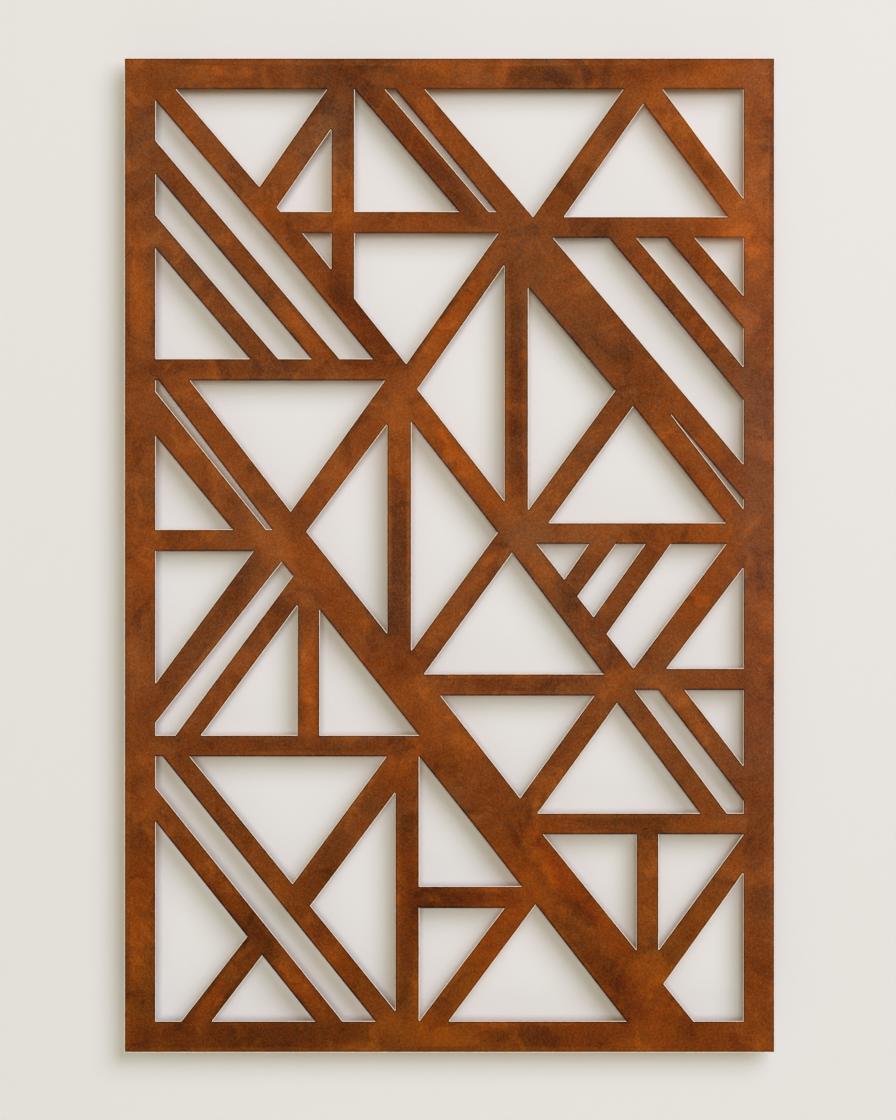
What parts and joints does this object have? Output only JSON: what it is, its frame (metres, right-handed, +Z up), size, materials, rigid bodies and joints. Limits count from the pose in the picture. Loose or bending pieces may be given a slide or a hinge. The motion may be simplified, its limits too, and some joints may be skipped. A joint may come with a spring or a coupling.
{
  "type": "wall-hung lattice screen",
  "caption": "Tall flat screen cut from sheet steel with a rust finish, with an open lattice of straight diagonal strips, hung clear of a wall on hidden keyhole hangers.",
  "frame": {"origin": "on the wall plane, at the middle of the pattern of six wall fixings, level with the middle of the screen", "axes": "+X to the right as the screen is seen from the front, +Z upwards, -Y out of the wall towards the viewer; the wall is the plane y = 0"},
  "size_m": [1.177, 0.039, 1.8],
  "materials": {
    "rusted_steel": "weathering steel with a matt, mottled orange-brown rust patina; density of steel, 7850 kg/m3",
    "stainless_steel": "turned stainless steel, fine satin",
    "zinc_plated_steel": "bright zinc plate, slightly bluish",
    "black_rubber": "matt black rubber"
  },
  "bodies": {
    "wall_hangers": {"boss_top_left": "stainless_steel", "boss_top_right": "stainless_steel", "boss_middle_left": "stainless_steel", "boss_middle_right": "stainless_steel", "boss_bottom_left": "stainless_steel", "boss_bottom_right": "stainless_steel", "pad_top_left": "black_rubber", "pad_top_right": "black_rubber", "pad_middle_left": "black_rubber", "pad_middle_right": "black_rubber", "pad_bottom_left": "black_rubber", "pad_bottom_right": "black_rubber"},
    "hung_panel": {"screen_sheet": "rusted_steel", "bracket_top_left": "zinc_plated_steel", "bracket_top_right": "zinc_plated_steel", "bracket_middle_left": "zinc_plated_steel", "bracket_middle_right": "zinc_plated_steel", "bracket_bottom_left": "zinc_plated_steel", "bracket_bottom_right": "zinc_plated_steel", "weld_studs": "stainless_steel", "stud_washers": "zinc_plated_steel", "stud_nuts": "zinc_plated_steel"}
  },
  "joints": [
    {"name": "panel_lift", "type": "slide", "parent": "wall_hangers", "child": "hung_panel", "axis": [0, 0, 1], "range_m": [0, 0.018]}
  ]
}
